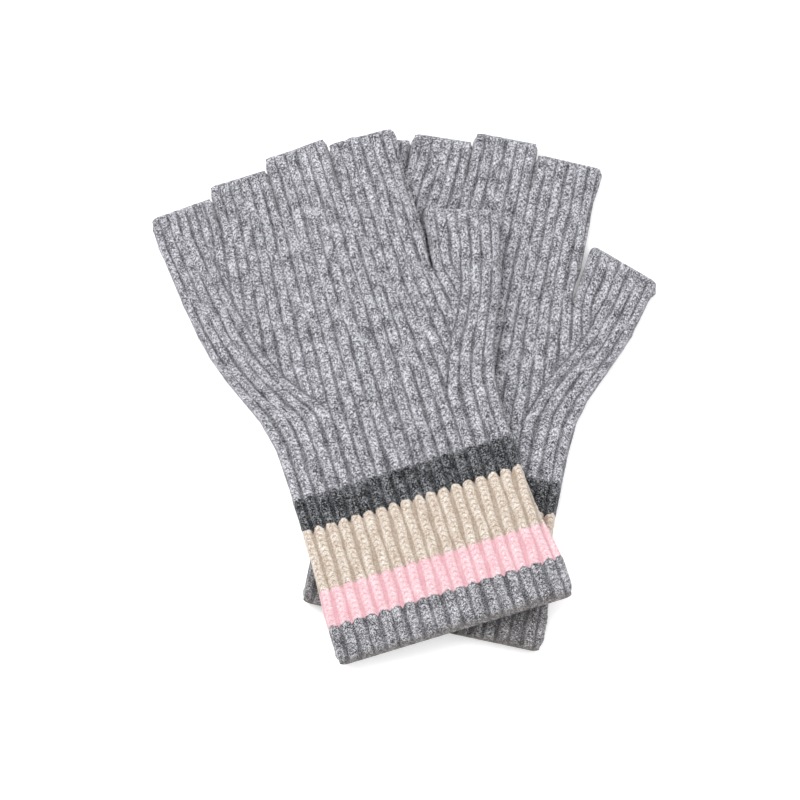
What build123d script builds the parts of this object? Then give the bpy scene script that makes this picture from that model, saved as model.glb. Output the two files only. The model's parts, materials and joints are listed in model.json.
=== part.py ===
from build123d import *
import math
import os

os.makedirs("parts", exist_ok=True)

# A pair of fingerless gloves, knitted in a 1x1 rib and laid one on the other. The upper one is the
# right-hand glove, palm up. The lower one is the left-hand glove, palm down. So both show their thumb
# on the same side, and one outline serves for both.
# Each glove is drawn in its own plane: u runs across it to the thumb, v runs up from the cuff's edge.
# Z is up, the table is z = 0, and the origin is under the middle of the pair. Millimetres.

# ---- the knitted fabric
WALL = 1.6                 # one layer of fabric
THICK = 8.0                # a glove lying flat: two layers and the air between them
ROUND = THICK / 2          # the rounded side where the upper layer turns into the lower one
SLIT = 0.6                 # between neighbouring finger stubs
WELT = 2.4                 # the cast-off edge round each finger and thumb opening

# ---- heights up the glove
PINK_TOP, OATMEAL_TOP, WRIST = 28.5, 51.5, 63.7
GUSSET_FOOT, THUMB_CROTCH, KNUCKLES = 89.0, 133.0, 172.0

# ---- the outline's two sides, as (height v, distance across u)
LITTLE_SIDE = [(0, -46.8), (20, -47.0), (51, -45.2), (85, -46.0), (97, -48.4), (115, -55.9),
               (125, -59.3), (135, -61.6), (150, -63.6), (KNUCKLES, -65.9), (194, -66.3)]
THUMB_SIDE = [(0, 45.9), (12, 46.0), (30, 43.0), (51, 41.4), (76, 41.4), (88, 42.4), (97, 45.0),
              (114, 52.3), (124, 56.2), (146, 62.4)]
HAND_EDGE = 31.8           # the straight side of the hand above the thumb
GUSSET_SEAM_FOOT = 22.2    # where the gusset's first wale leaves the palm

# ---- finger stubs: name, the two sides across the glove, and the height of the opening's edge
FINGERS = [("little", -66.2, -40.9, 183.7), ("ring", -40.9, -17.6, 188.3),
           ("middle", -17.6, 7.1, 192.9), ("index", 7.1, HAND_EDGE, 190.0)]

# ---- the thumb stub, which leans outwards from the crotch
THUMB_LEAN = 19.0
THUMB_BASE = (0.4, 26.3)   # its two sides at the base, measured along the base line
THUMB_TOP = (-4.2, 24.6)   # and at the opening
THUMB_LONG = 22.2

# ---- how the pair lies: centre of each cuff's edge, the turn of the glove, the height of its hem
# band, and how much shorter its finger stubs are, because their fabric has drawn in
LOWER = {"name": "lower", "x": 6.92, "y": -88.09, "turn": -11.5, "hem": 19.0, "drawn_in": 3.0}
UPPER = {"name": "upper", "x": 20.22, "y": -88.49, "turn": 17.2, "hem": 14.5, "drawn_in": 0.0}
LAY_GAP = 0.6              # air between the two gloves
TABLE_GAP = 0.2            # and under the upper glove where it has come down to the table
SHOULDER = 2.5             # how far past the lower glove's edge the upper one starts to fall
FALL = 22.0                # over which it comes down to the table
STATION = 12.0             # spacing of the sections
SPANS = 16                 # pieces that a section's long sides are divided into


def edge(side, v):
    """Distance across the glove of one side of the outline, at height v."""
    for (v0, u0), (v1, u1) in zip(side, side[1:]):
        if v <= v1:
            break
    return u0 + (u1 - u0) * (v - v0) / (v1 - v0)


def to_pair(glove, u, v):
    """A place in a glove's own plane, in the pair's frame."""
    c, s = math.cos(math.radians(glove["turn"])), math.sin(math.radians(glove["turn"]))
    return glove["x"] + u * c - v * s, glove["y"] + u * s + v * c


def to_glove(glove, x, y):
    """The way back, from the pair's frame to a glove's own plane."""
    c, s = math.cos(math.radians(glove["turn"])), math.sin(math.radians(glove["turn"]))
    dx, dy = x - glove["x"], y - glove["y"]
    return dx * c + dy * s, dy * c - dx * s


def underside(glove, u, v):
    """Height of a glove's underside: the table, or for the upper glove the lower one below it."""
    if glove is LOWER:
        return 0.0
    lu, lv = to_glove(LOWER, *to_pair(glove, u, v))
    past = max(edge(LITTLE_SIDE, lv) - lu, lu - edge(THUMB_SIDE, lv), -lv) - SHOULDER
    t = min(max(past / FALL, 0.0), 1.0)
    down = t * t * (3 - 2 * t)
    return (THICK + LAY_GAP) * (1 - down) + TABLE_GAP * down


def stations(v0, v1):
    """Heights of the sections from v0 to v1: only the two ends, or more where the glove is long."""
    count = max(1, math.ceil((v1 - v0) / STATION))
    return [v0 + (v1 - v0) * i / count for i in range(count + 1)]


def ring_section(plane, left, right, height, inset):
    """A flattened ring: two long sides that follow height(u), and two rounded ends."""
    a, b = left + ROUND, right - ROUND
    across = [a + (b - a) * i / SPANS for i in range(SPANS + 1)]
    low = [(u, height(u) + inset) for u in across]
    high = [(u, height(u) + THICK - inset) for u in across]
    flat = max(p[1] for p in low) - min(p[1] for p in low) < 1e-6
    with BuildSketch(plane) as sketch:
        with BuildLine():
            if flat:
                Line(low[0], low[-1])
                Line(high[0], high[-1])
            else:
                Spline(*low)
                Spline(*high)
            ThreePointArc(low[0], (left + inset, height(a) + ROUND), high[0])
            ThreePointArc(low[-1], (right - inset, height(b) + ROUND), high[-1])
        make_face()
    return sketch.sketch


def across_plane(glove, v):
    """The upright plane across a glove at height v, with u to the right and Z up."""
    x, y = to_pair(glove, 0, v)
    c, s = math.cos(math.radians(glove["turn"])), math.sin(math.radians(glove["turn"]))
    return Plane(origin=(x, y, 0), x_dir=(c, s, 0), z_dir=(s, -c, 0))


def tube(glove, heights, left, right):
    """A hollow knitted tube from its sections; left and right give its sides at each height."""
    with BuildPart() as part:
        for inset, mode in ((0, Mode.ADD), (WALL, Mode.SUBTRACT)):
            rings = [ring_section(across_plane(glove, v), left(v), right(v),
                                  lambda u: underside(glove, u, v), inset) for v in heights]
            loft(rings, ruled=True, mode=mode)
    return part


def upright_cut(glove, u0, v0, u1, v1):
    """The upright plane through two places, facing to the right of the line from 0 to 1."""
    x0, y0 = to_pair(glove, u0, v0)
    x1, y1 = to_pair(glove, u1, v1)
    return Plane(origin=(x0, y0, 0), x_dir=(x1 - x0, y1 - y0, 0), z_dir=(y1 - y0, x0 - x1, 0))


def save(part, glove, name):
    part.part.label = f"{glove['name']}_{name}"
    export_step(part.part, f"parts/{part.part.label}.step")


def little(v):
    return edge(LITTLE_SIDE, v)


def thumbward(v):
    return edge(THUMB_SIDE, v)


def cuff(glove):
    """Four bands of different yarn."""
    bands = [("hem_band", 0, glove["hem"]), ("pink_band", glove["hem"], PINK_TOP),
             ("oatmeal_band", PINK_TOP, OATMEAL_TOP), ("charcoal_band", OATMEAL_TOP, WRIST)]
    for name, low, high in bands:
        save(tube(glove, stations(low, high), little, thumbward), glove, name)


def hand_and_gusset(glove):
    """The hand from wrist to knuckles, and the gusset that widens it towards the thumb."""
    seam = upright_cut(glove, GUSSET_SEAM_FOOT, GUSSET_FOOT, HAND_EDGE, THUMB_CROTCH)
    palm = tube(glove, stations(WRIST, GUSSET_FOOT), little, thumbward)
    middle = tube(glove, stations(GUSSET_FOOT, THUMB_CROTCH), little, thumbward)
    top = tube(glove, stations(THUMB_CROTCH, KNUCKLES), little, lambda v: HAND_EDGE)
    with BuildPart() as hand:
        add(middle.part)
        split(bisect_by=seam, keep=Keep.BOTTOM)
        add(palm.part)
        add(top.part)
    save(hand, glove, "hand")

    wide = tube(glove, stations(GUSSET_FOOT, THUMB_CROTCH + 1), lambda v: 0, thumbward)
    base = thumb_plane(glove, 0)
    with BuildPart() as gusset:
        add(wide.part)
        split(bisect_by=seam, keep=Keep.TOP)
        split(bisect_by=base, keep=Keep.TOP)
    save(gusset, glove, "thumb_gusset")


def thumb_place(s, t):
    """A place on the thumb: s along its base line from the crotch, t along the thumb."""
    c, n = math.cos(math.radians(THUMB_LEAN)), math.sin(math.radians(THUMB_LEAN))
    return HAND_EDGE + s * c + t * n, THUMB_CROTCH - s * n + t * c


def thumb_plane(glove, t):
    """The upright plane across the thumb at length t, with s to the right and Z up."""
    x0, y0 = to_pair(glove, *thumb_place(0, t))
    x1, y1 = to_pair(glove, *thumb_place(1, t))
    return Plane(origin=(x0, y0, 0), x_dir=(x1 - x0, y1 - y0, 0), z_dir=(y1 - y0, x0 - x1, 0))


def thumb(glove):
    """The thumb stub and the cast-off edge round its opening."""
    def side(i, t):
        return THUMB_BASE[i] + (THUMB_TOP[i] - THUMB_BASE[i]) * t / THUMB_LONG

    for name, lengths in (("thumb_tube", (0, THUMB_LONG / 2, THUMB_LONG - WELT)),
                          ("thumb_welt", (THUMB_LONG - WELT, THUMB_LONG))):
        with BuildPart() as part:
            for inset, mode in ((0, Mode.ADD), (WALL, Mode.SUBTRACT)):
                rings = [ring_section(thumb_plane(glove, t), side(0, t), side(1, t),
                                      lambda s: underside(glove, *thumb_place(s, t)), inset)
                         for t in lengths]
                loft(rings, ruled=True, mode=mode)
        save(part, glove, name)


def fingers(glove):
    """Four finger stubs side by side, each with the cast-off edge round its opening."""
    for name, left, right, longest in FINGERS:
        tip = longest - glove["drawn_in"]
        sides = (lambda v: left + SLIT / 2), (lambda v: right - SLIT / 2)
        save(tube(glove, (KNUCKLES, (KNUCKLES + tip - WELT) / 2, tip - WELT), *sides), glove,
             f"{name}_tube")
        save(tube(glove, (tip - WELT, tip), *sides), glove, f"{name}_welt")


for glove in (LOWER, UPPER):
    cuff(glove)
    hand_and_gusset(glove)
    thumb(glove)
    fingers(glove)
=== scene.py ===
import json
import math

import bpy
import numpy as np
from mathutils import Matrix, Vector


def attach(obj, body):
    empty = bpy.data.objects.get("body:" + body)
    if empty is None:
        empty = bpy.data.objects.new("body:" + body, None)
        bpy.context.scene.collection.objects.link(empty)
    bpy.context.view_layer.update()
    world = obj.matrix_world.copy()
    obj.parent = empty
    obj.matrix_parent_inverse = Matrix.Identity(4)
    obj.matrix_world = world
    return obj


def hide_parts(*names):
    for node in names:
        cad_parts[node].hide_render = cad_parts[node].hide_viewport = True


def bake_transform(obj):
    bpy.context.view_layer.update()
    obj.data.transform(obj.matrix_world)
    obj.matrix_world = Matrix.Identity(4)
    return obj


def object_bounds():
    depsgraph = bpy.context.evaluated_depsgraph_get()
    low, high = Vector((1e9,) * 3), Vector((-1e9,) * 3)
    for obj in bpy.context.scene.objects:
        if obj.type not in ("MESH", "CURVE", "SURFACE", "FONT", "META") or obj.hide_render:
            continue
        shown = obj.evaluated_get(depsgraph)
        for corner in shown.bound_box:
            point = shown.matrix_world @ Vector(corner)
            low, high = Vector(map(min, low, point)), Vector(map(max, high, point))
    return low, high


# A pair of rib-knitted fingerless gloves, one laid on the other. Each glove is drawn in its own plane,
# in millimetres: u runs across it to the thumb and v runs up it to the fingers. Every knitted piece
# is a closed shell of grids whose ribs, furrows and stitches are in the mesh.

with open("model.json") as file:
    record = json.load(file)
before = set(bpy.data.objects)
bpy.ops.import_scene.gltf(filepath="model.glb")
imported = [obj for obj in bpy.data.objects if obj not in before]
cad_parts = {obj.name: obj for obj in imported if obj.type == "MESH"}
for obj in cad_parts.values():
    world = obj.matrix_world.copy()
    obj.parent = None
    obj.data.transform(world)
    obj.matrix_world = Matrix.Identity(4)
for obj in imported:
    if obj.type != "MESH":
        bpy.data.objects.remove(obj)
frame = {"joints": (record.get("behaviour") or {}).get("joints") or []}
CAD_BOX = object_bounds()
MM = 0.001
FLOOR_DROP = 0.0003        # the woolly face dips a little below the CAD model's underside

# ---- the knitted fabric, in mm
WALL = 1.6                 # one layer
THICK = 8.0                # a glove lying flat
HALF = THICK / 2
STITCH = 2.0               # height of one course
RIB_RISE = 1.25            # a rib's crest above its furrow
PROUD = 0.15               # how far a crest stands out of the layer's outer face
LEG_RISE = 0.24            # the legs of the stitches on a rib
LEG_SLOPE = 0.85           # how far a leg falls from the rib's middle to its side, in stitches
FUZZ = 0.13                # unevenness of the woolly face
SLIT = 0.12                # between neighbouring finger stubs
WELT = 2.4                 # the cast-off edge of a finger or thumb stub
CAST_OFF = 1.9             # near a free edge the ribs run out into a cast-off row
CAST_OFF_RISE = 0.72       # the height of that row, where a rib's crest is 1
LIP = 1.1                  # over this distance a free edge is rounded
LEAST_BEND = 0.3           # the least radius of a layer's bend at a side
ROW, COLUMN = 0.5, 0.48    # spacing of the mesh
ROW_STEP, COLUMN_STEP = 4, 3    # the inner face has one row in four and one column in three

# ---- heights up the glove, as in the CAD model, and its outline and tips, which are within 3 mm of it
HEM_TOP = {"lower": 19.0, "upper": 14.5}      # most of the lower cuff lies under the upper one
PINK_TOP, OATMEAL_TOP, WRIST = 28.5, 51.5, 63.7
GUSSET_FOOT, THUMB_CROTCH, KNUCKLES = 89.0, 133.0, 172.0
LITTLE_SIDE = [(0, -47.3), (20, -47.2), (51, -45.1), (85, -46.2), (97, -48.8), (115, -56.3),
               (125, -59.7), (135, -62.0), (150, -64.0), (KNUCKLES, -66.2), (194, -66.5)]
THUMB_SIDE = [(0, 46.1), (12, 46.0), (30, 43.2), (51, 41.9), (76, 42.0), (88, 42.8), (97, 45.2),
              (114, 52.6), (124, 56.4), (146, 62.4)]
HAND_EDGE = 31.8           # the hand's side above the thumb
SEAM_FOOT = 22.2           # the lower end of the seam between hand and gusset
# each finger's left and right sides, and how high its tip is at them
FINGERS = [("little", -66.5, -40.9, 183.6, 184.6), ("ring", -40.9, -17.6, 188.9, 188.8),
           ("middle", -17.6, 7.1, 193.2, 192.7), ("index", 7.1, HAND_EDGE, 189.9, 188.8)]
# how much shorter each of them is, at its left and right
SHORTER = {"lower": [(5.6, 3.0), (4.4, 3.2), (3.6, 2.9), (3.9, 3.5)], "upper": [(0.0, 0.0)] * 4}
FLARE = 0.6, 1.6           # how far the index finger's side stands out at the knuckles and at its tip
FOOT = {"lower": (0.6, -0.2), "upper": (-0.4, -1.2)}    # height of the hem's edge at its two ends
THUMB_LEAN = math.radians(19.0)
# the thumb's sides at its base and at its top, from the crotch along its base line
THUMB_BASE, THUMB_TOP, THUMB_LONG = (0.0, 26.4), (-4.7, 24.8), 22.7
THUMB_MIDDLE = 13                       # halfway across its base
THUMB_RIBS, THUMB_FIRST = 7, 17         # its ribs, and the number of its first furrow
THUMB_BEND, FINGER_BEND = 9.0, 7.0      # lengths above a stub's base; over the first the thumb's own ribs take over from the palm's
PRESSED = 1.5              # how far a stub's side bulges where it is pressed against its neighbour
# the upper glove lies this far off the lower one, and off the table beyond it: it keeps level past
# the lower one's edge as far as its shoulder, then comes down over the length of its fall
LAY_GAP, TABLE_GAP, SHOULDER, FALL = 0.6, 0.2, 2.5, 22.0

# ---- where the ribs run: the furrows between them are numbered across the glove
RIB_HEIGHTS = [0, 30, WRIST, 97, THUMB_CROTCH, KNUCKLES]
MIDDLE_RIB, MIDDLE_AT = 9.5, 0.3              # the number of the middle rib, and its place across
RIB_PITCH = [5.05, 4.93, 4.9, 4.85]           # at the first four of those heights
# places of numbered furrows at the last two of them
FURROWS = {-8: (-77.6, -66.2), -1: (-46.4, -40.9), 5: (-19.8, -17.6), 11: (7.1, 7.1),
           17: (HAND_EDGE, HAND_EDGE), 20: (42.4, 42.4), 24: (58.0, 58.0)}
# towards the little finger and the thumb the ribs fan out, and the others end on them in a vee
VEE_FOOT, VEE_OPEN = 92.0, 95.0
LITTLE_FAN, THUMB_FAN = 5, 4                  # ribs in each fan
FAN_FOOT, FAN_START = 14, 20                  # number of the thumb fan's first furrow, below and above
FAR = 9.0                                     # a distance from a vee where it has no effect
LITTLE_VEE = [(0, -21.75), (VEE_FOOT, -21.75), (97, -24.2), (102, -28.5), (111, -34.3), (120, -38.5),
              (THUMB_CROTCH, -42.5), (150, -45.6), (KNUCKLES, -48.3)]
THUMB_VEE = [(0, 22.35), (85, 22.35), (89, 23.2), (97, 26.3), (105, 29.9), (112, 34.5), (122, 39.2),
             (THUMB_CROTCH, 42.4)]


def along(table, v):
    """A quantity given at some heights, at the heights v."""
    return np.interp(v, [h for h, _ in table], [x for _, x in table])


def smooth(t):
    """An even rise from 0 to 1 over that range of t, level at both ends."""
    t = np.clip(t, 0, 1)
    return t * t * (3 - 2 * t)


def speckle(x, y, z):
    """A number from 0 to 1 that is scattered but the same each time for the same place."""
    return np.modf(np.abs(np.sin(x * 127.1 + y * 311.7 + z * 74.7)) * 43758.5453)[0]


class Glove:
    """One glove's place in the frame, read from the joint at its wrist."""

    def __init__(self, name):
        joint = next(j for j in frame["joints"] if j["name"] == f"{name}_wrist_fold")
        across = np.array(joint["axis"][:2]) * np.sign(joint["axis"][0])
        self.name, self.across, self.up = name, across, np.array([-across[1], across[0]])
        self.origin = np.array(joint["pos_m"][:2]) / MM - WRIST * self.up

    def to_pair(self, u, v):
        """From the glove's plane to the pair's, both in mm."""
        return (self.origin[0] + u * self.across[0] + v * self.up[0],
                self.origin[1] + u * self.across[1] + v * self.up[1])

    def to_plane(self, x, y):
        """From the pair's plane to the glove's."""
        dx, dy = x - self.origin[0], y - self.origin[1]
        return dx * self.across[0] + dy * self.across[1], dx * self.up[0] + dy * self.up[1]

    def underside(self, u, v):
        """The table, or for the upper glove the lower one and the slope down from it."""
        if self.name == "lower":
            return np.zeros_like(u)
        lu, lv = LOWER.to_plane(*self.to_pair(u, v))
        past = np.maximum(np.maximum(along(LITTLE_SIDE, lv) - lu, lu - along(THUMB_SIDE, lv)), -lv)
        down = smooth((past - SHOULDER) / FALL)
        return (THICK + LAY_GAP) * (1 - down) + TABLE_GAP * down

    def point(self, u, v):
        """A place in the frame, in metres."""
        x, y = self.to_pair(u, v)
        return Vector((x * MM, y * MM, 0.0))


LOWER, UPPER = Glove("lower"), Glove("upper")


# ---- the ribs
def furrow_places(v):
    """Where each numbered furrow lies at the heights v, as (numbers, places)."""
    numbers = sorted(FURROWS)
    places = []
    for n in numbers:
        low = [MIDDLE_AT + (n - MIDDLE_RIB) * p for p in RIB_PITCH]
        places.append(np.interp(v, RIB_HEIGHTS, low + list(FURROWS[n])))
    return numbers, places


def rib_phase(u, v):
    """Which rib a place is on: whole numbers are furrows. Also how far it is from a vee, in mm."""
    numbers, places = furrow_places(v)
    phase = np.full_like(u, float(numbers[0]))
    for a, b, pa, pb in zip(numbers, numbers[1:], places, places[1:]):
        inside = (u >= pa) if a != numbers[0] else np.ones_like(u, bool)
        phase = np.where(inside, a + (b - a) * (u - pa) / (pb - pa), phase)
    left, right = along(LITTLE_SIDE, v), along(THUMB_SIDE, v)
    vee_l, vee_r = along(LITTLE_VEE, v), along(THUMB_VEE, v)
    low = v < VEE_FOOT
    grown = smooth((v - WRIST) / (VEE_FOOT - WRIST))
    fan = LITTLE_FAN * (u - left) / (vee_l - left)
    phase = np.where(u < vee_l, np.where(low, phase + (fan - phase) * grown, fan), phase)
    first = np.where(v > VEE_OPEN, FAN_START, FAN_FOOT)
    fan = first + THUMB_FAN * (u - vee_r) / (right - vee_r)
    at_thumb = (u > vee_r) & ((v < THUMB_CROTCH) | (u > HAND_EDGE + 1))
    phase = np.where(at_thumb, np.where(low, phase + (fan - phase) * grown, fan), phase)
    off_l = np.where(v > VEE_OPEN, np.abs(u - vee_l), FAR)
    off_r = np.where((v > VEE_OPEN) & (v < THUMB_CROTCH), np.abs(u - vee_r), FAR)
    return phase, np.minimum(off_l, off_r)


def knit(phase, course, vee):
    """Height of the fabric's outer face over its furrows, 0 to 1, and its stitches' legs, -1 to 1."""
    rib = np.floor(phase)
    # every rib strays a little from its line; x is 0 in its middle and 1 in its furrows
    wander = 0.05 * np.sin(course * 0.31 + rib * 2.4) + 0.035 * np.sin(course * 0.83 + rib * 1.7)
    x = np.abs(2 * (phase + wander - np.floor(phase + wander)) - 1)
    # ribs are fuller on the hand than on the cuff, and low where they end at a vee
    wide = 0.80 + 0.08 * smooth((course * STITCH - 60) / 50)
    ridge = np.clip(1 - (x / wide) ** 2.2, 0, 1) ** 0.62
    ridge = ridge * (0.35 + 0.65 * smooth(vee / 1.3))
    # some stitches stand out more than others, and their two legs meet in a groove
    swell = 0.5 + 0.5 * np.sin(course * 0.9 + rib * 5.1) * np.sin(course * 0.37 + rib * 3.3)
    leg = np.cos(2 * math.pi * (course + LEG_SLOPE * x)) * (0.65 + 0.5 * swell)
    groove = 0.75 * np.exp(-((x / 0.16) ** 2))
    return ridge, leg * np.clip(ridge, 0, 1) - groove * ridge


# ---- grids
def loop_columns(kind, flat, bend):
    """The way round a section: for each column its share of the flat stretch, its places on the
    left and right bends, its height and its side. kind is ring, left (open to the right) or right."""
    columns = []

    def stretch(start, end, high):
        for share in np.linspace(start, end, flat + 1):
            columns.append((share, 0.0, 0.0, high))

    def turn_left():
        for angle in np.radians(np.linspace(-90, 90, bend + 1)):
            columns.append((0.0, math.cos(angle), 0.0, math.sin(angle)))

    def turn_right():
        for angle in np.radians(np.linspace(90, -90, bend + 1)):
            columns.append((1.0, 0.0, math.cos(angle), math.sin(angle)))

    if kind == "left":
        stretch(1, 0, -1.0)
        turn_left()
        stretch(0, 1, 1.0)
    else:
        stretch(0, 1, 1.0)
        turn_right()
        stretch(1, 0, -1.0)
    if kind == "ring":
        turn_left()
    columns = np.array(columns).T
    keep = [0] + [i for i in range(1, columns.shape[1])
                  if np.abs(columns[:, i] - columns[:, i - 1]).max() > 1e-9]
    return columns[:, keep]


class Sheet:
    """One grid of a piece: rows from t = 0 to 1 between a left and a right line in the glove's plane.

    kind      ring, left or right, as in loop_columns
    lines     lines(t) gives the two sides (lu, lv, ru, rv)
    long      length of the sheet up the rows, in mm
    bulges    how far the bends at the two sides reach inwards, each a number or a function of t
    ends      how each end of the rows is finished: free (a rounded edge), cut (closed by a flat rim)
              or joined (nothing)
    sides     cut where the first and the last column have a flat rim, else joined
    wide      width of the flat stretch, in mm
    phase     the ribs' numbers, and the distance from a vee, at u, v, if they aren't the hand's
    course    height at u, v from which the courses are counted, if it isn't v
    scallop   how far the stitches of a colour change stand up, at the foot and at the top
    corner    radii of the two corners of a free end
    pressed   share of the relief that is lost at each side
    tip       the end with those corners, and how far beyond this sheet it is"""

    def __init__(self, glove, kind, lines, long, bulges, ends, sides="joined", wide=90.0,
                 phase=rib_phase, course=lambda u, v: v, scallop=(0.0, 0.0), corner=(0.0, 0.0),
                 pressed=(0.45, 0.45), tip=("top", 0.0)):
        self.glove = glove
        self.kind = kind
        self.lines = lines
        self.long = long
        self.bulges = bulges
        self.ends = ends
        self.sides = sides
        self.phase_at = phase
        self.course_at = course
        self.scallop = scallop
        self.corner = corner
        self.pressed = pressed
        self.tip = tip
        rows = ROW_STEP * max(1, round(long / ROW / ROW_STEP))
        self.t = np.linspace(0, 1, rows + 1)
        flat = COLUMN_STEP * max(1, round(wide / COLUMN / COLUMN_STEP))
        bend = COLUMN_STEP * round(math.pi * HALF / COLUMN / COLUMN_STEP)
        self.columns = loop_columns(kind, flat, bend)

    def bends(self, t, width, cut):
        """Where the flat stretch starts and ends, and the radii of the bends across the glove."""
        left, right = (b(t) if callable(b) else b for b in self.bulges)
        radius_l, radius_r = (np.maximum(reach - cut, LEAST_BEND) for reach in (left, right))
        if self.kind == "right":
            return 0.0, width - right, 0.0, radius_r
        if self.kind == "left":
            return left, width, radius_l, 0.0
        return left, width - right, radius_l, radius_r

    def place(self, inner):
        """Places and knit attributes of the outer or the inner face, as arrays of rows by columns."""
        share, on_left, on_right, high = self.columns[:, ::COLUMN_STEP] if inner else self.columns
        t = (self.t[::ROW_STEP] if inner else self.t)[:, None]
        cut = WALL if inner else 0.0
        half = HALF - cut
        lu, lv, ru, rv = (np.broadcast_to(a, t.shape) for a in self.lines(t))
        width = np.hypot(ru - lu, rv - lv)
        eu, ev = (ru - lu) / width, (rv - lv) / width

        # the section: a flat stretch on each side of the glove and a bend at each edge
        x0, x1, bend_l, bend_r = self.bends(t, width, cut)
        base = x0 + (x1 - x0) * share
        x = base - bend_l * on_left + bend_r * on_right
        z = half * high * np.ones_like(x)
        nx = (on_right / np.maximum(bend_r, 0.1) - on_left / np.maximum(bend_l, 0.1)) * np.ones_like(x)
        nz = high / half * np.ones_like(x)
        norm = np.hypot(nx, nz)
        nx, nz = nx / norm, nz / norm
        u, v = lu + eu * x, lv + ev * x
        v = v + self.scallop_at(u, v, t)
        v = v - self.corners(x, width, t)

        # the relief: ribs, which run out at a free edge and are flatter on pressed sides
        phase, vee = self.phase_at(u, v)
        course = self.course_at(u, v) / STITCH
        ridge, legs = knit(phase, course, vee)
        ridge = ridge + (CAST_OFF_RISE - ridge) * 0.8 * self.near_end(t, CAST_OFF)
        beside = np.where(on_left > 0, self.pressed[0], np.where(on_right > 0, self.pressed[1], 0))
        around = 1 - beside * (1 - smooth(np.abs(nz) / 0.8))
        ridge = 1 - (1 - ridge) * around
        if inner:
            out = self.lip(t, 0.5) - 0.15 * ridge
        else:
            out = PROUD + RIB_RISE * (ridge - 1) + LEG_RISE * 0.5 * legs * around
            out = out + 2 * FUZZ * (speckle(u, v, z) - 0.5) * around - self.lip(t, 0.5)

        under = self.glove.underside(lu + eu * base, lv + ev * base)
        px, py = self.glove.to_pair(u + eu * nx * out, v + ev * nx * out)
        where = np.stack([px, py, under + HALF + z + nz * out], -1) * MM
        # the inner face's ridge is stored lower, so the material gives it painted shade in the furrows'
        # colour
        attributes = np.stack([phase, course, ridge * (0.45 if inner else 1.0)], -1)
        return where, attributes

    def scallop_at(self, u, v, t):
        """The lower colour's stitches stand up into the next band at each rib."""
        if self.scallop == (0.0, 0.0):
            return 0.0
        phase, _ = rib_phase(u, v)
        x = np.abs(2 * (phase - np.floor(phase)) - 1)
        arch = np.sqrt(np.clip(1 - (x / 0.92) ** 2.4, 0, 1)) - 0.7
        at_foot, at_top = self.scallop
        fray = 0.16 * np.sin(7.3 * u) + 0.14 * np.sin(12.1 * u) + 0.2 * np.sin(1.9 * u)
        stand = arch * (at_foot * (1 - t) + at_top * t)
        return stand + fray * ((1 - t) * (at_foot > 0) + t * (at_top > 0))

    def near_end(self, t, reach):
        """1 at a free end of the rows, falling to 0 at a distance from it."""
        near = np.zeros_like(t)
        if self.ends[0] == "free":
            near = smooth(1 - t * self.long / reach)
        if self.ends[1] == "free":
            near = np.maximum(near, smooth(1 - (1 - t) * self.long / reach))
        return near

    def corners(self, x, width, t):
        """How far a row falls back at its two ends, which rounds the corners of a free end. That end
        may be the next piece's, a distance beyond this one."""
        drop = 0.0
        end, beyond = self.tip
        away = (1 - t if end == "top" else t) * self.long + beyond
        for radius, depth in zip(self.corner, (x, width - x)):
            if radius:
                d = np.clip(radius - depth, 0, radius)
                fall = radius - np.sqrt(radius ** 2 - d ** 2)
                drop = drop + fall * (1 - smooth(away / (2.4 * radius)))
        return drop if end == "top" else -drop

    def lip(self, t, share):
        """How far the faces draw together at a free edge, so that it is rounded."""
        depth = 0.0
        for end, away in ((self.ends[0], t * self.long), (self.ends[1], (1 - t) * self.long)):
            if end == "free":
                s = np.clip(1 - away / LIP, 0, 1)
                depth = depth + WALL * share * (1 - np.sqrt(1 - s * s * 0.98))
        return depth


def quads(rows, columns, first, flip):
    """Faces of a grid whose vertices are numbered row by row from the first."""
    r, c = np.meshgrid(np.arange(rows - 1), np.arange(columns - 1), indexing="ij")
    a = first + r * columns + c
    faces = np.stack([a, a + 1, a + columns + 1, a + columns], -1).reshape(-1, 4)
    return faces[:, ::-1] if flip else faces


def rim(outer, inner, step):
    """Faces between a run of outer vertices and the inner run that has one vertex in each step."""
    return [list(outer[i * step:(i + 1) * step + 1]) + [inner[i + 1], inner[i]]
            for i in range(len(inner) - 1)]


def distinct(corners):
    """A face's corners without any that fell on the corner before it."""
    return corners[corners != np.roll(corners, 1)]


def shell(sheets):
    """The sheets' outer and inner faces and the rims between them, each sheet with its own vertices:
    places, attributes, quads, rims, and the runs of vertices along sharp edges."""
    places, attributes, faces, rims, sharp = [], [], [], [], []
    count = 0
    for sheet in sheets:
        grids = []
        for inside in (False, True):
            where, extra = sheet.place(inside)
            rows, columns = where.shape[:2]
            places.append(where.reshape(-1, 3))
            attributes.append(extra.reshape(-1, 3))
            faces.append(quads(rows, columns, count, inside))
            grids.append(count + np.arange(rows * columns).reshape(rows, columns))
            count += rows * columns
        outer, inner = grids
        first, last = sheet.ends
        if last != "joined":
            rims += rim(outer[-1], inner[-1], COLUMN_STEP)
        if first != "joined":
            rims += [face[::-1] for face in rim(outer[0], inner[0], COLUMN_STEP)]
        if sheet.sides == "cut":
            rims += rim(outer[:, 0], inner[:, 0], ROW_STEP)
            rims += [face[::-1] for face in rim(outer[:, -1], inner[:, -1], ROW_STEP)]
            sharp += [outer[:, 0], outer[:, -1]]
        if first == "cut":
            sharp.append(outer[0])
        if last == "cut":
            sharp.append(outer[-1])
    return np.concatenate(places), np.concatenate(attributes), np.concatenate(faces), rims, sharp


def mark_sharp(mesh, vertices):
    """Sharp edges: those with both ends among the vertices."""
    marked = np.zeros(len(mesh.vertices), bool)
    marked[vertices] = True
    ends = np.empty(len(mesh.edges) * 2, np.int32)
    mesh.edges.foreach_get("vertices", ends)
    edge = mesh.attributes.new("sharp_edge", "BOOLEAN", "EDGE")
    edge.data.foreach_set("value", marked[ends.reshape(-1, 2)].all(axis=1))


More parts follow.
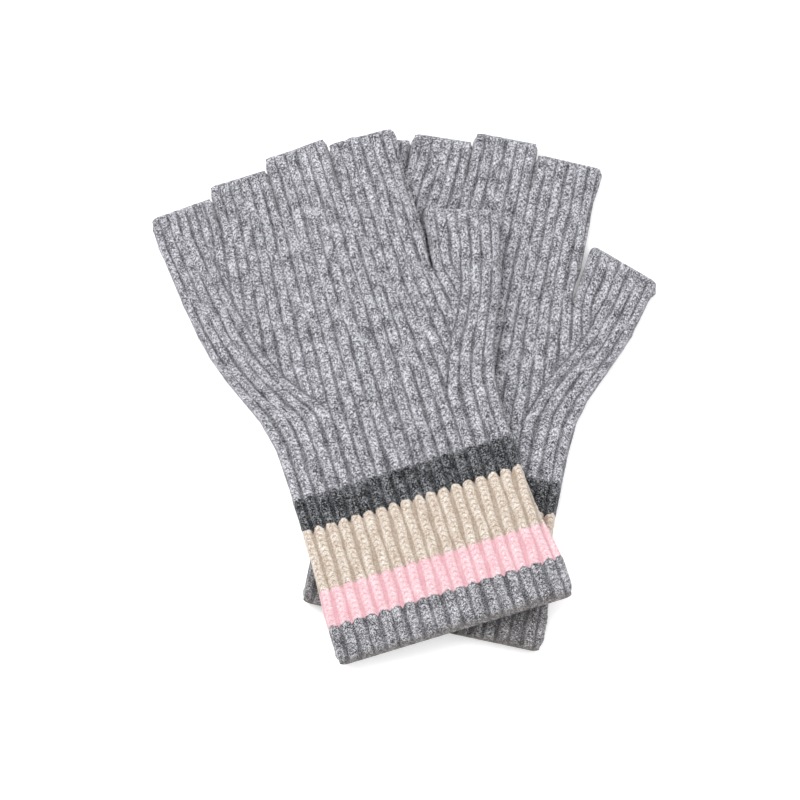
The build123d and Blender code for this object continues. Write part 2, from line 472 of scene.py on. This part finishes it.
def build(name, sheets, slot, nodes):
    """One piece: a closed shell of its sheets, in which vertices at the same place are one."""
    places, attributes, faces, rims, sharp = shell(sheets)
    _, kept, same = np.unique(np.round(places / MM, 3), axis=0, return_index=True, return_inverse=True)
    same = same.ravel()
    rims = [distinct(same[np.array(face)]) for face in rims]
    corners = np.concatenate([same[faces].ravel()] + rims).astype(np.int32)
    totals = np.array([4] * len(faces) + [len(face) for face in rims])
    starts = np.concatenate([[0], np.cumsum(totals)[:-1]]).astype(np.int32)
    mesh = bpy.data.meshes.new(name)
    mesh.vertices.add(len(kept))
    mesh.vertices.foreach_set("co", places[kept].astype(np.float32).ravel())
    mesh.loops.add(len(corners))
    mesh.loops.foreach_set("vertex_index", corners)
    mesh.polygons.add(len(totals))
    mesh.polygons.foreach_set("loop_start", starts)
    mesh.polygons.foreach_set("use_smooth", np.ones(len(totals), bool))
    mesh.update(calc_edges=True)
    data = mesh.attributes.new("knit", "FLOAT_VECTOR", "POINT").data
    data.foreach_set("vector", attributes[kept].astype(np.float32).ravel())
    mark_sharp(mesh, same[np.concatenate(sharp)])
    mesh.validate()
    # the lower glove's hem takes the darker copy of the hem's wool, with painted shade from the upper
    # cuff
    mesh.materials.append(MATERIALS["lower_hem" if name.startswith("lower_hem") else slot])
    piece = bpy.data.objects.new(name, mesh)
    bpy.context.scene.collection.objects.link(piece)
    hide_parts(*nodes)
    return piece


# ---- materials
class Nodes:
    """A short way to write a material's nodes."""

    def __init__(self, name):
        self.material = bpy.data.materials.new(name)
        self.material.use_nodes = True
        self.tree = self.material.node_tree
        self.shader = self.tree.nodes["Principled BSDF"]

    def add(self, kind, settings=None, **inputs):
        """A node with its inputs set or linked, by name, or by number as i0, i1 and so on."""
        node = self.tree.nodes.new(kind)
        for key, value in (settings or {}).items():
            setattr(node, key, value)
        for key, value in inputs.items():
            numbered = key[0] == "i" and key[1:].isdigit()
            self.feed(node.inputs[int(key[1:]) if numbered else key], value)
        return node

    def feed(self, socket, value):
        if isinstance(value, bpy.types.NodeSocket):
            self.tree.links.new(value, socket)
        else:
            socket.default_value = value

    def math(self, operation, a, b=0.0, clamp=False):
        node = self.add("ShaderNodeMath", {"operation": operation, "use_clamp": clamp}, i0=a, i1=b)
        return node.outputs[0]

    def noise(self, vector, scale, detail, rough):
        node = self.add("ShaderNodeTexNoise", {"noise_dimensions": "3D"}, Vector=vector, Scale=scale,
                        Detail=detail, Roughness=rough)
        return node.outputs["Fac"]

    def ramp(self, value, low, high, out_low=0.0, out_high=1.0):
        """A smooth step between two outputs, from one value to another."""
        node = self.add("ShaderNodeMapRange", {"interpolation_type": "SMOOTHSTEP"}, i0=value, i1=low,
                        i2=high, i3=out_low, i4=out_high)
        return node.outputs[0]

    def mix(self, factor, a, b):
        node = self.add("ShaderNodeMix", {"data_type": "RGBA"}, Factor=factor)
        self.feed(node.inputs[6], a)
        self.feed(node.inputs[7], b)
        return node.outputs[2]

    def stretched_noise(self, across, across_scale, up, up_scale, layer, rough):
        """A noise over two quantities that run across and up the ribs, each with its own scale."""
        x, y = self.math("MULTIPLY", across, across_scale), self.math("MULTIPLY", up, up_scale)
        vector = self.add("ShaderNodeCombineXYZ", X=x, Y=y, Z=layer).outputs[0]
        return self.noise(vector, 1.0, 2.0, rough)

    def swing(self, noise, weight):
        """How far a noise is from its middle, times a weight."""
        return self.math("MULTIPLY", self.math("SUBTRACT", noise, 0.5), weight)


def linear(r, g, b):
    """A screen colour, 0 to 255, as the linear colour that a shader takes."""
    return tuple((c / 12.92 if c <= 0.04045 else ((c + 0.055) / 1.055) ** 2.4)
                 for c in (r / 255, g / 255, b / 255)) + (1.0,)


def knit_material(name, yarn, light, dark, furrow_shade, spread=1.0, painted_hem_shade=False, sheen=0.25):
    """Heathered wool: the yarn's colour with light and dark fibres that lie along the stitches' legs,
    streaks of a few stitches up a rib, and painted shade in the furrows and between the stitches;
    spread is the contrast of the fibres."""
    n = Nodes(name)
    stitches = n.add("ShaderNodeAttribute", {"attribute_name": "knit"}).outputs["Vector"]
    phase, course, ridge = n.add("ShaderNodeSeparateXYZ", Vector=stitches).outputs
    place = n.add("ShaderNodeTexCoord").outputs["Object"]
    # off is 0 in the middle of a rib and 1 in a furrow, and lean follows the legs of the stitches
    off = n.math("ABSOLUTE", n.math("SUBTRACT", n.math("MULTIPLY", n.math("FRACT", phase), 2.0), 1.0))
    lean = n.math("ADD", course, n.math("MULTIPLY", off, LEG_SLOPE))
    streak = n.stretched_noise(phase, 1.3, course, 0.40, 0.0, 0.6)
    fibre = n.stretched_noise(phase, 6.0, lean, 6.6, 3.0, 0.7)
    speck = n.noise(place, 2300.0, 2.0, 0.75)
    # the share of light fibres, then the yarn's colour from dark to light by it
    mixed = n.math("ADD", n.swing(fibre, 1.9 * spread), 0.5)
    mixed = n.math("ADD", mixed, n.swing(speck, 2.2 * spread))
    mixed = n.math("ADD", mixed, n.swing(streak, 0.75 * spread))
    lower = n.mix(n.math("MULTIPLY", mixed, 2.0, True), dark, yarn)
    upper = n.math("MULTIPLY", n.math("SUBTRACT", mixed, 0.5), 2.0, True)
    colour = n.mix(upper, lower, light)
    # painted shade in the furrows and in the gaps between the stitches of a rib
    furrow_shade_mask = n.ramp(ridge, 0.68, 0.05)
    colour = n.mix(n.math("MULTIPLY", furrow_shade_mask, 0.56), colour, furrow_shade)
    stitch_gap_shade = n.ramp(n.math("COSINE", n.math("MULTIPLY", lean, 2 * math.pi)), -0.2, -1.0)
    colour = n.mix(n.math("MULTIPLY", stitch_gap_shade, n.ramp(off, 0.05, 0.5, 0.6, 0.18)), colour, furrow_shade)
    # painted shade on the hem's first courses, where its edge rolls under
    if painted_hem_shade:
        colour = n.mix(n.ramp(course, 1.6, 0.0, 0.0, 0.6), colour, HEM_PAINTED_SHADE)
    n.feed(n.shader.inputs["Base Color"], colour)
    # the strands of the yarn and its fuzz, as a bump
    strand = n.stretched_noise(phase, 7.0, lean, 8.0, 0.0, 0.6)
    fuzz = n.noise(place, 2600.0, 2.0, 0.7)
    height = n.math("ADD", n.math("MULTIPLY", strand, 0.7), fuzz)
    bump = n.add("ShaderNodeBump", Strength=0.8, Distance=0.00035, Height=height)
    n.feed(n.shader.inputs["Normal"], bump.outputs[0])
    n.feed(n.shader.inputs["Roughness"], n.ramp(fuzz, 0.3, 0.7, 0.85, 0.98))
    n.shader.inputs["Sheen Weight"].default_value = sheen
    n.shader.inputs["Sheen Roughness"].default_value = 0.5
    n.shader.inputs["Specular IOR Level"].default_value = 0.12
    return n.material


HEM_PAINTED_SHADE = linear(88, 82, 76)      # painted shade on the hem's first courses, where its edge rolls under
# by slot, and a darker copy with painted shade for the lower glove's hem, which lies in the upper cuff's
# shade
MATERIALS = {
    "grey_knit": knit_material("grey_wool", linear(134, 134, 139), linear(220, 220, 227),
                               linear(40, 40, 46), linear(46, 46, 52), 1.9),
    "lower_hem": knit_material("shaded_hem_wool", linear(112, 110, 112), linear(188, 186, 188),
                               linear(42, 41, 43), linear(40, 39, 40), 1.5, True),
    "hem_knit": knit_material("hem_wool", linear(131, 130, 135), linear(212, 212, 217),
                              linear(40, 40, 44), linear(42, 42, 46), 1.85, True),
    "pink_knit": knit_material("pink_wool", linear(221, 188, 193), linear(238, 222, 226),
                               linear(212, 156, 165), linear(200, 140, 150), 1.15),
    "oatmeal_knit": knit_material("oatmeal_wool", linear(202, 190, 177), linear(236, 231, 224),
                                  linear(154, 130, 110), linear(136, 115, 96), 1.1),
    "charcoal_knit": knit_material("charcoal_wool", linear(34, 35, 38), linear(150, 152, 156),
                                   linear(6, 7, 9), linear(6, 7, 9), 2.1, sheen=0.12),
}


# ---- pieces
def little(v):
    return along(LITTLE_SIDE, v)


def thumbward(v):
    return along(THUMB_SIDE, v)


def level_lines(low, high, left, right):
    """Rows straight across the glove, from height low to high."""
    def lines(t):
        v = low + (high - low) * t
        return left(v), v, right(v), v
    return lines


def hem_lines(glove, high):
    """The hem's rows, from its edge, which isn't quite level, to a straight one."""
    foot_l, foot_r = FOOT[glove.name]

    def lines(t):
        left, right = foot_l + (high - foot_l) * t, foot_r + (high - foot_r) * t
        return little(left), left, thumbward(right), right
    return lines


def cuff(glove):
    """Four bands; all but the top one are attached to the cuff."""
    n = glove.name
    hem = HEM_TOP[n]
    bands = [("hem_band", "hem_knit", 0.0, hem, ("free", "cut"), (0.0, 1.5)),
             ("pink_band", "pink_knit", hem, PINK_TOP, ("cut", "cut"), (1.5, 1.2)),
             ("oatmeal_band", "oatmeal_knit", PINK_TOP, OATMEAL_TOP, ("cut", "cut"), (1.2, 2.6)),
             ("charcoal_band", "charcoal_knit", OATMEAL_TOP, WRIST, ("cut", "cut"), (2.6, 1.6))]
    for name, slot, low, high, ends, scallop in bands:
        lines = level_lines(low, high, little, thumbward)
        if name == "hem_band":
            lines = hem_lines(glove, high)
        sheet = Sheet(glove, "ring", lines, high - low, (HALF, HALF), ends, wide=84, scallop=scallop,
                      corner=(4.0, 4.0) if name == "hem_band" else (0, 0), tip=("foot", 0.0))
        piece = build(f"{n}_{name}_knit", [sheet], slot, [f"{n}_{name}"])
        if name == "charcoal_band":
            start, end = glove.point(0, WRIST), glove.point(0, OATMEAL_TOP + 2)
            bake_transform(piece)
        else:
            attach(piece, f"{n}_cuff")


def base_line_v(u):
    """Height of the thumb's base line at a place across the glove."""
    return THUMB_CROTCH - (u - HAND_EDGE) * math.tan(THUMB_LEAN)


SEAM_TOP_U = HAND_EDGE - HALF
SEAM_TOP_V = base_line_v(SEAM_TOP_U)


def seam(v):
    """Where the hand's grid ends: the gusset's seam, and a straight line below and above it."""
    return np.interp(v, [GUSSET_FOOT, SEAM_TOP_V], [SEAM_FOOT, SEAM_TOP_U])


def hand_edge(v):
    """The hand's side above the thumb."""
    return HAND_EDGE + FLARE[0] * smooth((v - THUMB_CROTCH - 2) / 12)


def hand(glove):
    """The hand: one grid from the little-finger side to the gusset's seam, and the thumb side below
    and above the gusset."""
    n = glove.name
    whole = Sheet(glove, "left", level_lines(WRIST, GUSSET_FOOT, little, seam), GUSSET_FOOT - WRIST,
                  (HALF, 0), ("cut", "joined"), wide=66, scallop=(1.6, 0.0))
    beside = Sheet(glove, "left", level_lines(GUSSET_FOOT, SEAM_TOP_V, little, seam),
                   SEAM_TOP_V - GUSSET_FOOT, (HALF, 0), ("joined", "joined"), "cut", wide=66)
    over = Sheet(glove, "left", level_lines(SEAM_TOP_V, KNUCKLES, little, seam), KNUCKLES - SEAM_TOP_V,
                 (HALF, 0), ("joined", "cut"), wide=66)
    below = Sheet(glove, "right", level_lines(WRIST, GUSSET_FOOT, seam, thumbward),
                  GUSSET_FOOT - WRIST, (0, HALF), ("cut", "cut"), wide=15, scallop=(1.6, 0.0))

    def side_lines(t):
        left = SEAM_TOP_V + (KNUCKLES - SEAM_TOP_V) * t
        right = THUMB_CROTCH + (KNUCKLES - THUMB_CROTCH) * t
        return seam(left), left, hand_edge(right), right

    def bulge(t):
        return 0.4 + (HALF - 0.4) * smooth(3 * t)

    above = Sheet(glove, "right", side_lines, KNUCKLES - SEAM_TOP_V, (0, bulge), ("cut", "cut"), wide=1.5)
    piece = build(f"{n}_hand_knit", [whole, beside, over, below, above], "grey_knit", [f"{n}_hand"])
    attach(piece, f"{n}_hand")


def thumb_place(s, t):
    """A place on the thumb: s along its base line from the crotch, t along the thumb."""
    c, k = math.cos(THUMB_LEAN), math.sin(THUMB_LEAN)
    return HAND_EDGE + s * c + t * k, THUMB_CROTCH - s * k + t * c


def to_thumb(u, v):
    """The thumb's s and t at a place across and up the glove."""
    c, k = math.cos(THUMB_LEAN), math.sin(THUMB_LEAN)
    return (u - HAND_EDGE) * c - (v - THUMB_CROTCH) * k, (u - HAND_EDGE) * k + (v - THUMB_CROTCH) * c


def gusset(glove):
    """The part of the palm between the seam and the thumb's outer side, up to the thumb's base."""
    n = glove.name
    end_u, end_v = thumb_place(THUMB_BASE[1], 0)

    def lines(t):
        lv = GUSSET_FOOT + (SEAM_TOP_V - GUSSET_FOOT) * t
        rv = GUSSET_FOOT + (end_v - GUSSET_FOOT) * t
        return seam(lv), lv, thumbward(rv) + (end_u - thumbward(end_v)) * t ** 4, rv

    sheet = Sheet(glove, "right", lines, 40.0, (0, HALF), ("cut", "cut"), "cut", wide=24)
    piece = build(f"{n}_thumb_gusset_knit", [sheet], "grey_knit", [f"{n}_thumb_gusset"])
    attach(piece, f"{n}_hand")


def thumb_sides(share):
    """The thumb's two sides, from the crotch along its base line, at a share of its length."""
    left = THUMB_BASE[0] + (THUMB_TOP[0] - THUMB_BASE[0]) * share
    right = THUMB_BASE[1] + (THUMB_TOP[1] - THUMB_BASE[1]) * share
    return left, right


def thumb_phase(u, v):
    """The seven ribs of the thumb, which take over from the gusset's over its first stitches."""
    s, t = to_thumb(u, v)
    left, right = thumb_sides(np.clip(t / THUMB_LONG, 0, 1))
    own = THUMB_FIRST + THUMB_RIBS * (s - left) / (right - left)
    from_palm, vee = rib_phase(u, v)
    mixed = smooth(t / THUMB_BEND)
    return from_palm + (own - from_palm) * mixed, np.maximum(vee, FAR * mixed)


def thumb(glove):
    """The thumb's tube, and the cast-off edge at its top."""
    n = glove.name
    for name, low, high, ends in (("thumb_tube", 0.0, THUMB_LONG - WELT, ("cut", "cut")),
                                  ("thumb_welt", THUMB_LONG - WELT, THUMB_LONG, ("cut", "free"))):
        def lines(t, low=low, high=high):
            far = low + (high - low) * t
            left, right = thumb_sides(far / THUMB_LONG)
            return (*thumb_place(left, far), *thumb_place(right, far))

        bulge = 2.2 if name == "thumb_welt" else lambda t: 0.4 + 1.8 * smooth(2.5 * t)
        sheet = Sheet(glove, "ring", lines, high - low, (bulge, HALF), ends, wide=20, phase=thumb_phase,
                      course=lambda u, v: to_thumb(u, v)[1] + THUMB_CROTCH, corner=(1.2, 3.2),
                      pressed=(1.0, 0.45), tip=("top", THUMB_LONG - high))
        piece = build(f"{n}_{name}_knit", [sheet], "grey_knit", [f"{n}_{name}"])
        if name == "thumb_tube":
            start, end = thumb_place(THUMB_MIDDLE, 0), thumb_place(THUMB_MIDDLE, THUMB_BEND)
            glove.point(*start)
            glove.point(*end)
            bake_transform(piece)
        else:
            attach(piece, f"{n}_thumb")


def fingers(glove):
    """Each finger's tube, and the cast-off edge at its top."""
    n = glove.name
    for (short_l, short_r), (finger, left, right, tip_left, tip_right) in zip(SHORTER[n], FINGERS):
        tips = tip_left - short_l, tip_right - short_r
        bulges = (HALF if finger == "little" else PRESSED, HALF if finger == "index" else PRESSED)
        a, b = left + SLIT / 2, right - SLIT / 2

        def top(u, tips=tips, left=left, right=right):
            return tips[0] + (tips[1] - tips[0]) * (u - left) / (right - left)

        for name, from_tip, to_tip, ends in (("tube", None, WELT, ("cut", "cut")),
                                             ("welt", WELT, 0.0, ("cut", "free"))):
            def lines(t, from_tip=from_tip, to_tip=to_tip, flares=finger == "index"):
                def height(u):
                    low = KNUCKLES if from_tip is None else top(u) - from_tip
                    return low + (top(u) - to_tip - low) * t
                out = np.interp(height(b), [KNUCKLES, top(b)], FLARE) if flares else 0.0
                return a + 0 * t, height(a), b + out + 0 * t, height(b)

            long = (top(a) + top(b)) / 2 - KNUCKLES - WELT if from_tip is None else WELT
            corner = (4.0 if finger == "little" else 2.8, 2.0 if finger == "index" else 1.6)
            pressed = (0.45 if finger == "little" else 1.0, 0.45 if finger == "index" else 1.0)
            sheet = Sheet(glove, "ring", lines, long, bulges, ends, wide=right - left - 5,
                          corner=corner, pressed=pressed, tip=("top", to_tip))
            piece = build(f"{n}_{finger}_{name}_knit", [sheet], "grey_knit", [f"{n}_{finger}_{name}"])
            if name == "tube":
                middle = (left + right) / 2
                glove.point(middle, KNUCKLES)
                glove.point(middle, KNUCKLES + FINGER_BEND)
                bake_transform(piece)
            else:
                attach(piece, f"{n}_{finger}")


for glove in (LOWER, UPPER):
    cuff(glove)
    hand(glove)
    gusset(glove)
    thumb(glove)
    fingers(glove)


# ---- floor, light and camera
def floor():
    """A pale, matt table top that reaches beyond the view."""
    size = 3.0
    mesh = bpy.data.meshes.new("floor")
    mesh.from_pydata([(-size, -size, 0), (size, -size, 0), (size, size, 0), (-size, size, 0)], [],
                     [(0, 1, 2, 3)])
    obj = bpy.data.objects.new("floor", mesh)
    obj.location.z = CAD_BOX[0].z - FLOOR_DROP
    bpy.context.scene.collection.objects.link(obj)
    n = Nodes("floor")
    n.shader.inputs["Base Color"].default_value = (0.95, 0.95, 0.95, 1)
    n.shader.inputs["Roughness"].default_value = 0.9
    n.shader.inputs["Specular IOR Level"].default_value = 0.1
    n.shader.inputs["Emission Color"].default_value = (1, 1, 1, 1)
    n.shader.inputs["Emission Strength"].default_value = 0.2
    mesh.materials.append(n.material)


def area_light(name, azimuth, elevation, distance, size, power):
    """A round soft light that points at the middle of the frame; angles in degrees."""
    data = bpy.data.lights.new(name, "AREA")
    data.shape, data.size, data.energy = "DISK", size, power
    obj = bpy.data.objects.new(name, data)
    a, e = math.radians(azimuth), math.radians(elevation)
    place = Vector((math.sin(a) * math.cos(e), math.cos(a) * math.cos(e), math.sin(e))) * distance
    obj.location = place
    obj.rotation_euler = (-place).to_track_quat("-Z", "Y").to_euler()
    bpy.context.scene.collection.objects.link(obj)


def lights():
    """A key light at the upper left, a weaker one at the right, and a white surround."""
    area_light("key", -45, 58, 1.6, 1.2, 17.0)
    area_light("fill", 50, 70, 1.8, 1.6, 8.0)
    world = bpy.data.worlds.new("studio")
    world.use_nodes = True
    world.node_tree.nodes["Background"].inputs[0].default_value = (1, 1, 1, 1)
    world.node_tree.nodes["Background"].inputs[1].default_value = 0.95
    bpy.context.scene.world = world
    bpy.context.scene.view_settings.view_transform = "Standard"


def camera():
    """Nearly straight down, from a little below the cuffs."""
    view_wide, distance, tilt = 0.3032, 1.3, math.radians(4.5)
    aim = Vector((-1.4 * MM, -2.0 * MM, 12 * MM))
    data = bpy.data.cameras.new("camera")
    data.sensor_width = 36.0
    data.lens = data.sensor_width * distance / view_wide
    obj = bpy.data.objects.new("camera", data)
    obj.location = aim + Vector((0, -math.sin(tilt), math.cos(tilt))) * distance
    obj.rotation_euler = (tilt, 0, 0)
    bpy.context.scene.collection.objects.link(obj)
    bpy.context.scene.camera = obj


floor()
lights()
camera()
